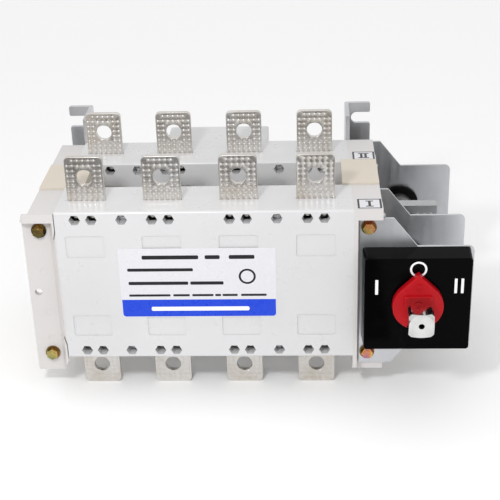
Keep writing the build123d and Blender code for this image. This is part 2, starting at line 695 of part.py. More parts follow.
# ---- Rear brackets and the middle foot -----------------------------------------------------------------
bracket_half_height = 72.4
slot_centre_z, slot_half = 60.8, 4.2
bracket_web = {"left": -94.0, "right": 97.8}      # left face of the web
bracket_edge = {"left": -109.5, "right": 117.0}   # free edge of the foot
slot_end = {"left": -96.8, "right": 107.0}        # centre of the slot's round end
unit_back = unit_fronts[1] + unit_depth
bracket_flange_z = (-62.0, 50.0)


def make_bracket(side):
    """Folded steel channel: bolting flange, web, and a foot with two slots open to the outside."""
    web = (bracket_web[side], bracket_web[side] + bracket_sheet)
    free_edge = bracket_edge[side]
    foot = (min(free_edge, web[0]), max(free_edge, web[1]))
    height = (-bracket_half_height, bracket_half_height)
    with BuildPart() as bracket:
        block(web, (unit_back, 0), height)
        block(foot, (-bracket_sheet, 0), height)
        block(foot, (unit_back, unit_back + bracket_sheet), bracket_flange_z)
        outer_face = bracket.faces().sort_by(Axis.X)[0 if side == "right" else -1]
        fillet(outer_face.edges().filter_by(Axis.Z).sort_by(Axis.Y)[-1], 2.5)
        for z in (-slot_centre_z, slot_centre_z):
            rods([(slot_end[side], z)], slot_half, (-bracket_sheet, 0), Mode.SUBTRACT)
            slot_x = tuple(sorted((slot_end[side], free_edge)))
            block(slot_x, (-bracket_sheet, 0), (z - slot_half, z + slot_half), Mode.SUBTRACT)
        foot_edges = bracket.edges().filter_by(Axis.Y).filter_by_position(Axis.Y, -bracket_sheet, 0)
        tips = foot_edges.sort_by(Axis.X)[-6:] if side == "right" else foot_edges.sort_by(Axis.X)[:6]
        fillet([tip for tip in tips if abs(tip.center().Z) > 1], 1.2)
        bolts = [(tie_x[side], z) for z in tie_z[side]]
        rods(bolts, tie_hole_radius, (unit_back, unit_back + bracket_sheet), Mode.SUBTRACT)
        if side == "right":
            rods(bracket_screw_centres, 2.2, (-bracket_sheet, 0), Mode.SUBTRACT)
            for centre in bracket_screw_centres:
                with Locations(Location((centre[0], -2.2 / 2, centre[1]), (-90, 0, 0))):
                    Cone(2.2, 4.4, 2.2, mode=Mode.SUBTRACT)
    return bracket.part


for side in ("left", "right"):
    save(make_bracket(side), f"{side}_bracket")

with BuildPart() as bracket_screws:
    rods(bracket_screw_centres, 2.0, (rear_plate_y - 4.5, -2.0))
    for centre in bracket_screw_centres:
        with Locations(Location((centre[0], -2.2 / 2 - 0.1, centre[1]), (-90, 0, 0))):
            Cone(2.0, 4.2, 2.2)
    hexagons(bracket_screw_centres, 7.0, (rear_plate_y - 3.2, rear_plate_y))
save(bracket_screws.part, "bracket_screws")

foot_x = (-33.5, 41.0)
foot_wall = 3.0
with BuildPart() as rear_foot:
    block(foot_x, (unit_back, 0), (-half_height, half_height))
    fillet(rear_foot.edges().filter_by(Axis.Y), 1.5)
    fillet(rear_foot.faces().sort_by(Axis.Y)[-1].edges(), 0.8)
    hollow_x = (foot_x[0] + foot_wall, foot_x[1] - foot_wall)
    hollow_z = (-half_height + foot_wall, half_height - foot_wall)
    block(hollow_x, (unit_back, -foot_wall), hollow_z, Mode.SUBTRACT)
    rods(foot_screw_centres, boss_radius + 1.0, (unit_back, -1.5))
    with Locations(*[Location((x, 0, z), (-90, 0, 0)) for x, z in foot_screw_centres]):
        CounterSinkHole(2.2, 4.4)
save(rear_foot.part, "rear_foot")

with BuildPart() as foot_screws:
    rods(foot_screw_centres, 1.7, (unit_back - 9.0, -2.5))
    for x, z in foot_screw_centres:
        with Locations(Location((x, -1.5, z), (-90, 0, 0))):
            Cone(1.7, 3.9, 2.4)
save(foot_screws.part, "foot_screws")

# ---- Tie bolts through end frames, spacers and brackets ------------------------------------------------
bolt_flats, bolt_head, nut_height = 7.0, 3.0, 4.0
bolt_turn = {"left": 30.0, "right": 0.0}
washer_radius, washer_thickness = 5.0, 1.0
seat_front = {"left": unit_fronts[0] + flange_front, "right": front_plate_y}
seat_back = unit_back + bracket_sheet
tie_centres = {side: [(tie_x[side], z) for z in tie_z[side]] for side in ("left", "right")}

with BuildPart() as tie_bolts:
    for side in ("left", "right"):
        under_head = seat_front[side] - washer_thickness
        hexagons(tie_centres[side], bolt_flats, (under_head - bolt_head, under_head), turn=bolt_turn[side])
        rods(tie_centres[side], 2.5, (under_head - bolt_head - 0.3, under_head - bolt_head))
        rods(tie_centres[side], tie_radius, (under_head, seat_back + 7.5))
save(tie_bolts.part, "tie_bolts")

with BuildPart() as tie_washers:
    for side in ("left", "right"):
        front_washer = (seat_front[side] - washer_thickness, seat_front[side])
        back_washer = (seat_back, seat_back + washer_thickness)
        for limits in (front_washer, back_washer):
            rods(tie_centres[side], washer_radius, limits)
            rods(tie_centres[side], tie_radius + 0.1, limits, Mode.SUBTRACT)
save(tie_washers.part, "tie_washers")

with BuildPart() as tie_nuts:
    nut_front = seat_back + washer_thickness
    for side in ("left", "right"):
        hexagons(tie_centres[side], bolt_flats, (nut_front, nut_front + nut_height))
        rods(tie_centres[side], tie_radius + 0.05, (nut_front, nut_front + nut_height), Mode.SUBTRACT)
save(tie_nuts.part, "tie_nuts")

# ---- Labels --------------------------------------------------------------------------------------------
label_thickness = 0.2
label_x, label_z = (-54.2, 48.8), (-22.8, 28.0)
tag_x = (101.3, 117.4)
tag_length = 15.6
tag_setback = 1.5

with BuildPart() as front_label:
    block(label_x, (unit_fronts[0] - label_thickness, unit_fronts[0]), label_z)
    fillet(front_label.edges().filter_by(Axis.Y), 2.5)
save(front_label.part, "front_label")

with BuildPart() as unit_tags:
    for front in unit_fronts:
        tag_y = (front + tag_setback, front + tag_setback + tag_length)
        block(tag_x, tag_y, (half_height, half_height + label_thickness))
save(unit_tags.part, "unit_tags")
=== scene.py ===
import json
import math

import bmesh
import bpy
from mathutils import Matrix, Vector
from mathutils.geometry import delaunay_2d_cdt


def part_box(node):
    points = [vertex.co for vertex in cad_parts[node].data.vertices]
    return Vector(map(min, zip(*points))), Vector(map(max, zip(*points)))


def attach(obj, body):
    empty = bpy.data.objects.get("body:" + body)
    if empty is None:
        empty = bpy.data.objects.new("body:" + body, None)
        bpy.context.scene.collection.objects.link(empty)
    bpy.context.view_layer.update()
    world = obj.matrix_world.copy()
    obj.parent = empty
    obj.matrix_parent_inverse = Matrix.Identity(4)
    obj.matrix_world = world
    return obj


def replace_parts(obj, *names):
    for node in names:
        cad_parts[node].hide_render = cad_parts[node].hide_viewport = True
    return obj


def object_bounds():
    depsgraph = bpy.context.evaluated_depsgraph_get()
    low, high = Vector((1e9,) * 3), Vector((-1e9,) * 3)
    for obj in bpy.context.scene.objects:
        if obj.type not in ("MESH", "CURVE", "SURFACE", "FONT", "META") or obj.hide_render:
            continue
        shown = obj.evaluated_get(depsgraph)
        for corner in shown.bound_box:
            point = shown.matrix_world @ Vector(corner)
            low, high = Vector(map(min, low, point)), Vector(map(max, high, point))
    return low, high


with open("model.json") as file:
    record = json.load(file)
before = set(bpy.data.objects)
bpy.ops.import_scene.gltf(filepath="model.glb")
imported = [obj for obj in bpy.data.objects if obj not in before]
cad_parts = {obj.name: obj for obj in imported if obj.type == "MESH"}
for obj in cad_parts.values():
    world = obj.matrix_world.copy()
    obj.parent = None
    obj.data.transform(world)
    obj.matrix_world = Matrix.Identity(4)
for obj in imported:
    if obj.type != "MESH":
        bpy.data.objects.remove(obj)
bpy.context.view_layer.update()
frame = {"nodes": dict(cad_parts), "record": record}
nodes = frame["nodes"]
STATIC = "frame"
MM = 0.001


# ---- Node helpers --------------------------------------------------------------------------------------
class Shader:
    """A Principled material whose detail comes from textures in object space."""

    def __init__(self, name, colour, roughness, metallic=0.0, **sockets):
        self.material = bpy.data.materials.new(name)
        self.material.use_nodes = True
        self.tree = self.material.node_tree
        self.bsdf = self.tree.nodes["Principled BSDF"]
        self.bsdf.inputs["Base Color"].default_value = (*colour, 1)
        self.bsdf.inputs["Roughness"].default_value = roughness
        self.bsdf.inputs["Metallic"].default_value = metallic
        for socket, value in sockets.items():
            self.bsdf.inputs[socket.replace("_", " ")].default_value = value
        self.colour = colour
        self.coordinates = self.tree.nodes.new("ShaderNodeTexCoord").outputs["Object"]
        self.material.diffuse_color = (*colour, 1)
        self.height = None

    def node(self, kind, **values):
        made = self.tree.nodes.new("ShaderNode" + kind)
        for key, value in values.items():
            setattr(made, key, value)
        return made

    def link(self, start, end):
        self.tree.links.new(start, end)

    def noise(self, scale, detail=3.0, rough=0.5, stretch=(1, 1, 1), distortion=0.0, offset=(0, 0, 0)):
        """Noise with `scale` features per metre; stretch above 1 along an axis makes features shorter there."""
        mapping = self.node("Mapping")
        mapping.inputs["Scale"].default_value = stretch
        mapping.inputs["Location"].default_value = offset
        self.link(self.coordinates, mapping.inputs["Vector"])
        texture = self.node("TexNoise")
        texture.inputs["Scale"].default_value = scale
        texture.inputs["Detail"].default_value = detail
        texture.inputs["Roughness"].default_value = rough
        texture.inputs["Distortion"].default_value = distortion
        self.link(mapping.outputs["Vector"], texture.inputs["Vector"])
        return texture.outputs["Fac"]

    def remap(self, value, low, high, to_low, to_high):
        made = self.node("MapRange")
        for socket, number in (("From Min", low), ("From Max", high), ("To Min", to_low), ("To Max", to_high)):
            made.inputs[socket].default_value = number
        self.link(value, made.inputs["Value"])
        return made.outputs["Result"]

    def ramp(self, value, stops):
        made = self.node("ValToRGB")
        ramp = made.color_ramp
        while len(ramp.elements) < len(stops):
            ramp.elements.new(0.5)
        for element, (place, colour) in zip(ramp.elements, stops):
            element.position = place
            element.color = (*colour, 1)
        self.link(value, made.inputs["Fac"])
        return made.outputs["Color"]

    def math(self, operation, first, second):
        made = self.node("Math", operation=operation)
        for socket, value in zip(made.inputs, (first, second)):
            if isinstance(value, (int, float)):
                socket.default_value = value
            else:
                self.link(value, socket)
        return made.outputs["Value"]

    def paint(self, mask, colour):
        """Lay `colour` over what the base colour is so far, where mask is 1."""
        mixer = self.node("Mix", data_type="RGBA")
        base = self.bsdf.inputs["Base Color"]
        if base.is_linked:
            self.link(base.links[0].from_socket, mixer.inputs["A"])
        else:
            mixer.inputs["A"].default_value = base.default_value
        mixer.inputs["B"].default_value = (*colour, 1)
        self.link(mask, mixer.inputs["Factor"])
        self.link(mixer.outputs["Result"], base)

    def set_roughness(self, value):
        self.link(value, self.bsdf.inputs["Roughness"])

    def bump(self, height, distance, strength=1.0):
        """Stack a bump of `distance` metres on those already made."""
        made = self.node("Bump")
        made.inputs["Distance"].default_value = distance
        made.inputs["Strength"].default_value = strength
        self.link(height, made.inputs["Height"])
        if self.height is not None:
            self.link(self.height, made.inputs["Normal"])
        self.height = made.outputs["Normal"]
        self.link(self.height, self.bsdf.inputs["Normal"])


def shade(colour, factor):
    return tuple(min(1.0, channel * factor) for channel in colour)


# ---- Materials -----------------------------------------------------------------------------------------
def moulded_plastic(name, colour, roughness, grain=0.00002, mottle=0.96, coat=0.0, specular=0.5):
    """Moulded plastic: faint flow marks, fine orange-peel grain, uneven gloss and a few dust specks."""
    made = Shader(name, colour, roughness, Coat_Weight=coat, Coat_Roughness=0.12, Specular_IOR_Level=specular)
    made.paint(made.remap(made.noise(14, 4, 0.6), 0.35, 0.7, 0, 1), shade(colour, mottle))
    specks = made.remap(made.noise(900, 2, 0.6), 0.72, 0.78, 0, 0.35)
    made.paint(specks, shade(colour, 0.72))
    made.set_roughness(made.remap(made.noise(45, 5, 0.65), 0.3, 0.7, roughness - 0.06, roughness + 0.08))
    made.bump(made.noise(1400, 2, 0.5), grain)
    made.bump(made.noise(30, 2, 0.5), 0.00008)
    return made.material


def sheet_steel(name, colour, roughness, stretch=(1, 1, 1), blotch=0.72, seed=0.0):
    """Zinc-plated sheet: cloudy tone, fine rolling lines along the sheet, scattered pits and scuffs."""
    made = Shader(name, colour, roughness, 1.0)
    made.paint(made.remap(made.noise(22, 5, 0.6, offset=(seed, seed, 0)), 0.35, 0.68, 0, 1), shade(colour, blotch))
    made.paint(made.remap(made.noise(9, 3, 0.5, offset=(0, seed, 3)), 0.4, 0.65, 0, 0.6), shade(colour, 1.22))
    pits = made.remap(made.noise(1100, 3, 0.7), 0.7, 0.78, 0, 0.4)
    made.paint(pits, shade(colour, 0.55))
    lines = made.noise(260, 4, 0.7, stretch=stretch)
    made.set_roughness(made.remap(lines, 0.3, 0.7, roughness - 0.07, roughness + 0.1))
    made.bump(lines, 0.000006)
    made.bump(made.noise(60, 3, 0.5), 0.00005)
    return made.material


def plated_steel(name, colour, roughness, grain=0.00001, tint=0.85):
    """Small machined and plated steel: light cloudiness and fine turning marks."""
    made = Shader(name, colour, roughness, 1.0)
    made.paint(made.remap(made.noise(120, 4, 0.6), 0.35, 0.7, 0, 1), shade(colour, tint))
    made.set_roughness(made.remap(made.noise(400, 3, 0.6), 0.3, 0.7, roughness - 0.05, roughness + 0.1))
    made.bump(made.noise(2500, 2, 0.6), grain)
    return made.material


def chromated_zinc(name, strength):
    """Yellow chromate on zinc: olive, amber, orange and violet interference tints that drift along the part;
    `strength` scales the colour, and below 1 it paints shade.
    """
    made = Shader(name, shade((0.5, 0.33, 0.13), strength), 0.25, 1.0)
    drift = made.noise(75, 2, 0.5, distortion=0.4)
    place_axes = made.node("SeparateXYZ")
    made.link(made.coordinates, place_axes.inputs["Vector"])
    left_end = made.math("LESS_THAN", place_axes.outputs["X"], 0.0)
    upper_row = made.math("GREATER_THAN", place_axes.outputs["Z"], 0.0)
    olive = made.math("MULTIPLY", made.math("MULTIPLY", left_end, upper_row), -0.13)
    drift = made.math("ADD", made.math("ADD", drift, olive), 0.03)
    tint = made.ramp(drift, [(place, shade(colour, strength)) for place, colour in (
        (0.32, (0.20, 0.24, 0.10)),
        (0.42, (0.46, 0.36, 0.12)),
        (0.50, (0.66, 0.40, 0.14)),
        (0.58, (0.62, 0.25, 0.10)),
        (0.70, (0.42, 0.20, 0.30)),
    )])
    made.link(tint, made.bsdf.inputs["Base Color"])
    made.set_roughness(made.remap(made.noise(300, 3, 0.6), 0.3, 0.7, 0.18, 0.34))
    made.bump(made.noise(2200, 2, 0.6), 0.00001)
    return made.material


def tinned_copper():
    """Tin plating: pale warm grey with stains, handling smears and a fine matt grain."""
    colour = (0.66, 0.635, 0.605)
    made = Shader("tinned_copper", colour, 0.36, 1.0)
    made.paint(made.remap(made.noise(70, 5, 0.65), 0.4, 0.7, 0, 0.8), (0.58, 0.53, 0.46))
    made.paint(made.remap(made.noise(30, 3, 0.5, offset=(4, 1, 0)), 0.45, 0.7, 0, 0.7), (0.74, 0.73, 0.72))
    made.set_roughness(made.remap(made.noise(180, 5, 0.7), 0.3, 0.7, 0.28, 0.46))
    made.bump(made.noise(1800, 3, 0.6), 0.000015)
    return made.material


def black_panel():
    """Glossy black panel with the slight waviness, dust and faint smears of polished plastic."""
    made = Shader("panel_plastic", (0.0012, 0.0012, 0.0015), 0.2, Specular_IOR_Level=0.035)
    made.paint(made.remap(made.noise(1300, 2, 0.5), 0.75, 0.79, 0, 0.4), (0.06, 0.06, 0.065))
    made.paint(made.remap(made.noise(60, 4, 0.7, stretch=(1, 1, 0.3)), 0.6, 0.78, 0, 0.5), (0.008, 0.008, 0.009))
    made.set_roughness(made.remap(made.noise(38, 5, 0.6, stretch=(1, 1, 3)), 0.35, 0.75, 0.08, 0.24))
    made.bump(made.noise(26, 2, 0.5), 0.00005)
    return made.material


def bright_socket():
    """Bright nickel-like plating with fine die lines along the tube."""
    made = Shader("bright_steel", (0.68, 0.68, 0.67), 0.1, 1.0)
    lines = made.noise(420, 4, 0.7, stretch=(1, 0.05, 1))
    made.set_roughness(made.remap(lines, 0.3, 0.7, 0.06, 0.2))
    made.paint(made.remap(made.noise(150, 3, 0.6), 0.4, 0.7, 0, 0.6), (0.52, 0.52, 0.505))
    made.bump(lines, 0.00001)
    return made.material


def print_ink(name, colour, roughness):
    """Printed ink: nearly even, with slightly patchy coverage."""
    made = Shader(name, colour, roughness)
    made.paint(made.remap(made.noise(700, 3, 0.6), 0.55, 0.8, 0, 0.4), shade(colour, 1.25))
    made.set_roughness(made.remap(made.noise(200, 3, 0.6), 0.3, 0.7, roughness - 0.05, roughness + 0.08))
    return made.material


HOUSING = (0.63, 0.63, 0.638)
MATERIALS = {
    "housing_plastic": moulded_plastic("housing_plastic", HOUSING, 0.3, coat=0.2),
    "frame_plastic": moulded_plastic("frame_plastic", (0.615, 0.594, 0.585), 0.34, coat=0.15),
    "spacer_plastic": moulded_plastic("spacer_plastic", (0.64, 0.58, 0.49), 0.5),
    "carrier_plastic": moulded_plastic("carrier_plastic", (0.20, 0.05, 0.035), 0.5),
    "tinned_copper": tinned_copper(),
    "copper": plated_steel("copper", (0.78, 0.42, 0.28), 0.35, tint=0.7),
    "spring_steel": plated_steel("spring_steel", (0.40, 0.41, 0.43), 0.3),
    "gear_steel": plated_steel("gear_steel", (0.50, 0.505, 0.51), 0.32),
    "galvanised_sheet": sheet_steel("galvanised_sheet", (0.60, 0.61, 0.63), 0.36, stretch=(1, 1, 0.08), blotch=0.82),
    "bright_steel": bright_socket(),
    "zinc_fasteners": plated_steel("zinc_fasteners", (0.60, 0.61, 0.62), 0.28),
    "yellow_zinc": chromated_zinc("yellow_zinc", 1.0),
    # The washers' copy is the same chromate at about a third of the brightness: painted shade for the dark
    # surroundings they mirror.
    "chromate_painted_shade": chromated_zinc("chromate_painted_shade", 0.35),
    "bush_plastic": moulded_plastic("bush_plastic", (0.003, 0.003, 0.0034), 0.5, specular=0.1),
    "panel_plastic": black_panel(),
    "dial_plastic": moulded_plastic("dial_plastic", (0.46, 0.004, 0.009), 0.34, grain=0.000012, mottle=0.9,
                                    specular=0.18),
    "label_film": print_ink("label_film", (0.67, 0.67, 0.70), 0.3),
    "ink_black": print_ink("ink_black", (0.015, 0.015, 0.018), 0.35),
    "ink_blue": print_ink("ink_blue", (0.008, 0.055, 0.62), 0.28),
    "ink_white": print_ink("ink_white", (0.86, 0.86, 0.87), 0.3),
}
NODE_SLOTS = {part["node"]: part["material_slot"] for part in frame["record"]["subparts"]}


def dress(obj, key):
    obj.data.materials.clear()
    obj.data.materials.append(MATERIALS[key])


for name, obj in nodes.items():
    dress(obj, NODE_SLOTS[name])
# The tie washers take the darkened chromate copy: painted shade.
dress(nodes["tie_washers"], "chromate_painted_shade")


# ---- Mesh helpers --------------------------------------------------------------------------------------
def finish_mesh(mesh, name, material, body, smooth_angle=30.0):
    """Turn a bmesh into a piece that rides on a body."""
    bmesh.ops.recalc_face_normals(mesh, faces=mesh.faces)
    data = bpy.data.meshes.new(name)
    for face in mesh.faces:
        face.smooth = True
    limit = math.radians(smooth_angle)
    for edge in mesh.edges:
        edge.smooth = len(edge.link_faces) == 2 and edge.calc_face_angle(0.0) < limit
    mesh.to_mesh(data)
    mesh.free()
    piece = bpy.data.objects.new(name, data)
    bpy.context.scene.collection.objects.link(piece)
    dress(piece, material)
    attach(piece, body)
    return piece


def slab(mesh, outline, depth_front, depth_back, plane="front"):
    """Prism of an outline in mm: on the front (x, z) between two Y values, or on the top (x, y) between two Z."""
    def place(point, depth):
        if plane == "front":
            return (point[0] * MM, depth * MM, point[1] * MM)
        return (point[0] * MM, point[1] * MM, depth * MM)
    near = [mesh.verts.new(place(point, depth_front)) for point in outline]
    far = [mesh.verts.new(place(point, depth_back)) for point in outline]
    mesh.faces.new(near)
    mesh.faces.new(list(reversed(far)))
    count = len(outline)
    for index in range(count):
        after = (index + 1) % count
        mesh.faces.new((near[index], far[index], far[after], near[after]))


def rectangle(x, z, radius=0.0, steps=4, corners=(1, 1, 1, 1)):
    """Outline of a rectangle with rounded corners; corners start at the right top and go anticlockwise."""
    points = []
    centres = ((x[1], z[1], 0), (x[0], z[1], 90), (x[0], z[0], 180), (x[1], z[0], 270))
    for (cx, cz, start), rounded in zip(centres, corners):
        r = radius * rounded
        inner = (cx - math.copysign(r, cx - (x[0] + x[1]) / 2), cz - math.copysign(r, cz - (z[0] + z[1]) / 2))
        if r == 0:
            points.append((cx, cz))
            continue
        for step in range(steps + 1):
            angle = math.radians(start + 90 * step / steps)
            points.append((inner[0] + r * math.cos(angle), inner[1] + r * math.sin(angle)))
    return points


def ring(mesh, centre, outer, inner, depth_front, depth_back, start=0.0, end=360.0, steps=48):
    """Flat ring or arc on the front, angles in degrees anticlockwise from the right."""
    whole = end - start >= 360
    angles = [math.radians(start + (end - start) * step / steps) for step in range(steps if whole else steps + 1)]
    loops = []
    for radius, depth in ((outer, depth_front), (inner, depth_front), (inner, depth_back), (outer, depth_back)):
        loops.append([mesh.verts.new(((centre[0] + radius * math.cos(a)) * MM, depth * MM,
                                      (centre[1] + radius * math.sin(a)) * MM)) for a in angles])
    count = len(angles)
    for index in range(count if whole else count - 1):
        after = (index + 1) % count
        for side in range(4):
            a, b = loops[side], loops[(side + 1) % 4]
            mesh.faces.new((a[index], b[index], b[after], a[after]))
    if not whole:
        for index in (0, count - 1):
            mesh.faces.new([loop[index] for loop in loops])


# ---- Softened edges on the carried-over CAD nodes ------------------------------------------------------
def soften(names, width, segments=2):
    """Round the sharp edges of CAD nodes with modifiers; the CAD mesh itself stays as it is."""
    for name in names:
        obj = nodes[name]
        for polygon in obj.data.polygons:
            polygon.use_smooth = True
        weld = obj.modifiers.new("weld", "WELD")
        weld.merge_threshold = 0.000002
        flat = obj.modifiers.new("flat", "DECIMATE")
        flat.decimate_type = "DISSOLVE"
        flat.angle_limit = math.radians(0.5)
        bevel = obj.modifiers.new("bevel", "BEVEL")
        bevel.width = width * MM
        bevel.segments = segments
        bevel.limit_method = "ANGLE"
        bevel.angle_limit = math.radians(40)
        bevel.use_clamp_overlap = True
        even = obj.modifiers.new("even", "WEIGHTED_NORMAL")
        even.weight = 80


# ---- Terminals with their embossed dimples -------------------------------------------------------------
TAB_WIDTH, TAB_THICKNESS, TAB_TIP, TAB_ROOT = 25.0, 3.5, 84.7, 32.0
ARM_TOP, BLADE_WIDTH, BLADE_END = 40.0, 8.0, 15.0
HOLE_HEIGHT, HOLE_RADIUS, TIP_RADIUS = 70.4, 5.5, 3.0
DIMPLE_PITCH, DIMPLE_RADIUS, DIMPLE_DEPTH = 3.6, 0.85, 0.38
RIM_BEVEL = 0.25
DIMPLE_FLOOR = 0.45                    # radius of a dimple's flat floor as a share of its rim
DIMPLE_ROWS, DIMPLE_COLUMNS, FIRST_ROW = 9, 7, 1.7
STUD_OFFSET, STUD_HEIGHT, STUD_RADIUS, STUD_LENGTH = 5.4, 48.4, 1.55, 11.5


def terminal_outline(blade):
    """Outline (x, height) of a terminal about its pole, anticlockwise from the blade's inner left corner."""
    half, b0, b1 = TAB_WIDTH / 2, blade - BLADE_WIDTH / 2, blade + BLADE_WIDTH / 2
    low_left, low_right = min(-half, b0), max(half, b1)
    points = [(b0, BLADE_END), (b1, BLADE_END), (b1, TAB_ROOT)]
    if low_right > half:
        points += [(low_right, TAB_ROOT), (low_right, ARM_TOP), (half, ARM_TOP)]
    else:
        points += [(half, TAB_ROOT)]
    for start, cx in ((0, half - TIP_RADIUS), (90, -half + TIP_RADIUS)):
        for step in range(7):
            angle = math.radians(start + 90 * step / 6)
            points.append((cx + TIP_RADIUS * math.cos(angle), TAB_TIP - TIP_RADIUS + TIP_RADIUS * math.sin(angle)))
    if low_left < -half:
        points += [(-half, ARM_TOP), (low_left, ARM_TOP), (low_left, TAB_ROOT)]
    else:
        points += [(-half, TAB_ROOT)]
    points.append((b0, TAB_ROOT))
    cleaned = []
    for point in points:
        if not cleaned or (Vector(point) - Vector(cleaned[-1])).length > 1e-4:
            cleaned.append(point)
    return cleaned


def inside(point, outline):
    """True if the point is inside the closed outline."""
    x, z = point
    found = False
    for index, (x0, z0) in enumerate(outline):
        x1, z1 = outline[index - 1]
        if (z0 > z) != (z1 > z) and x < (x1 - x0) * (z - z0) / (z1 - z0) + x0:
            found = not found
    return found


def circle_points(centre, radius, steps):
    """Outline of a circle, anticlockwise from the right."""
    angles = [math.tau * step / steps for step in range(steps)]
    return [(centre[0] + radius * math.cos(a), centre[1] + radius * math.sin(a)) for a in angles]


def dimple_centres():
    """Grid of dimple centres on the tab, clear of its hole and edges."""
    centres = []
    for row in range(DIMPLE_ROWS):
        height = TAB_TIP - FIRST_ROW - row * DIMPLE_PITCH
        for column in range(DIMPLE_COLUMNS):
            x = (column - DIMPLE_COLUMNS // 2) * DIMPLE_PITCH
            if math.hypot(x, height - HOLE_HEIGHT) < HOLE_RADIUS + DIMPLE_RADIUS + 0.25:
                continue
            if abs(x) > TAB_WIDTH / 2 - TIP_RADIUS - 0.4 and row == 0:
                continue
            centres.append((x, height))
    return centres


def terminal_mesh(blade):
    """Mesh of one terminal about its pole; both faces carry the dimples, and two studs stand on the front."""
    outline = terminal_outline(blade)
    hole = circle_points((0, HOLE_HEIGHT), HOLE_RADIUS, 40)
    sides = 10
    centres = dimple_centres()
    points, edges = [], []

    def loop(ring_points):
        first = len(points)
        points.extend(Vector(p) for p in ring_points)
        count = len(ring_points)
        edges.extend((first + i, first + (i + 1) % count) for i in range(count))
        return list(range(first, first + count))

    outer_loop, hole_loop = loop(outline), loop(hole)
    rims = [loop(circle_points(centre, DIMPLE_RADIUS, sides)) for centre in centres]
    verts, _, faces, origin, _, _ = delaunay_2d_cdt(points, edges, [], 0, 1e-6)
    where = {}
    for new, old in enumerate(origin):
        for index in old:
            where[index] = new
    kept = []
    for face in faces:
        middle = sum((verts[i] for i in face), Vector((0, 0))) / len(face)
        if not inside(middle, outline) or (middle - Vector((0, HOLE_HEIGHT))).length < HOLE_RADIUS * 0.99:
            continue
        if any((middle - Vector(c)).length < DIMPLE_RADIUS * 0.95 for c in centres):
            continue
        kept.append(face)
    mesh = bmesh.new()
    layers = []
    for depth, sign in ((0.0, 1), (TAB_THICKNESS, -1)):
        layer = [mesh.verts.new((v.x * MM, depth * MM, v.y * MM)) for v in verts]
        layers.append(layer)
        for face in kept:
            mesh.faces.new([layer[i] for i in face])
        for rim, centre in zip(rims, centres):
            floor_depth = (depth + sign * DIMPLE_DEPTH) * MM
            shoulder = [mesh.verts.new((x * MM, floor_depth, z * MM))
                        for x, z in circle_points(centre, DIMPLE_FLOOR * DIMPLE_RADIUS, sides)]
            edge = [layer[where[i]] for i in rim]
            for i in range(sides):
                j = (i + 1) % sides
                mesh.faces.new((edge[i], edge[j], shoulder[j], shoulder[i]))
            mesh.faces.new(shoulder)
    for loop_points in (outer_loop, hole_loop):
        count = len(loop_points)
        for i in range(count):
            a, b = where[loop_points[i]], where[loop_points[(i + 1) % count]]
            mesh.faces.new((layers[0][a], layers[0][b], layers[1][b], layers[1][a]))
    loose = [v for v in mesh.verts if not v.link_faces]
    bmesh.ops.delete(mesh, geom=loose, context="VERTS")
    for x in (-STUD_OFFSET, STUD_OFFSET):
        slab(mesh, circle_points((x, STUD_HEIGHT), STUD_RADIUS, 20), -STUD_LENGTH, 0.0)
    bmesh.ops.recalc_face_normals(mesh, faces=mesh.faces)
    return mesh


PITCH_RADIUS, CONTACT_OFFSET, POLE_PITCH = 13.5, 3.0, 50.0
STROKE = PITCH_RADIUS * math.radians(60)
for unit, blade in ((1, CONTACT_OFFSET - STROKE), (2, CONTACT_OFFSET + STROKE)):
    template = terminal_mesh(blade)
    for row, direction in (("upper", 1), ("lower", -1)):
        for index in range(4):
            node = f"{row}_terminal_{unit}_{index + 1}"
            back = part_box(node)[1].y
            copy = template.copy()
            pole = (index - 1.5) * POLE_PITCH * MM
            place = Matrix.Translation((pole, back - TAB_THICKNESS * MM, 0)) @ Matrix.Diagonal((1, 1, direction, 1))
            bmesh.ops.transform(copy, matrix=place, verts=copy.verts)
            piece = finish_mesh(copy, f"{row}_tab_{unit}_{index + 1}", "tinned_copper", STATIC, 50)
            rim = piece.modifiers.new("bevel", "BEVEL")
            rim.width = RIM_BEVEL * MM
            rim.segments = 2
            rim.limit_method = "ANGLE"
            rim.angle_limit = math.radians(70)
            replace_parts(piece, node)
    template.free()

# ---- Front label ---------------------------------------------------------------------------------------
label_low, label_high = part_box("front_label")
LABEL_X = (label_low.x / MM, label_high.x / MM)
LABEL_Z = (label_low.z / MM, label_high.z / MM)
LABEL_FRONT, LABEL_BACK = label_low.y / MM, label_high.y / MM
INK = 0.03
BAND_TOP = -9.6

film = bmesh.new()
slab(film, rectangle(LABEL_X, LABEL_Z, 2.4, corners=(0, 0, 1, 1)), LABEL_FRONT + INK, LABEL_BACK)
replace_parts(finish_mesh(film, "label_film", "label_film", STATIC), "front_label")

band = bmesh.new()
band_x = (LABEL_X[0] + 0.5, LABEL_X[1] - 0.5)
slab(band, rectangle(band_x, (LABEL_Z[0] + 0.5, BAND_TOP), 2.0, corners=(0, 0, 1, 1)), LABEL_FRONT + INK / 2,
     LABEL_FRONT + INK)
finish_mesh(band, "label_band", "ink_blue", STATIC)

# Plain bars stand where the label's wording is: (left, right) of each, with the row's bottom and top.
WORD_ROWS = [
    ((18.9, 24.1), [(-38.6, -1.6), (2.6, 12.4), (18.3, 35.0)]),
    ((10.4, 14.5), [(-48.7, -5.5)]),
    ((0.4, 4.8), [(-48.5, -9.1), (-7.7, 14.2)]),
    ((-7.9, -4.9), [(-48.7, -21.3), (-19.4, -8.5), (-6.8, 7.2), (8.4, 12.2), (13.2, 23.2), (25.5, 42.3)]),
]
words = bmesh.new()
for (low, high), spans in WORD_ROWS:
    middle, half = (low + high) / 2, (high - low) * 0.27
    for left, right in spans:
        slab(words, rectangle((left, right), (middle - half, middle + half), half * 0.6), LABEL_FRONT,
             LABEL_FRONT + INK)
ring(words, (29.9, 7.3), 5.6, 4.2, LABEL_FRONT, LABEL_FRONT + INK)
finish_mesh(words, "label_bars", "ink_black", STATIC)

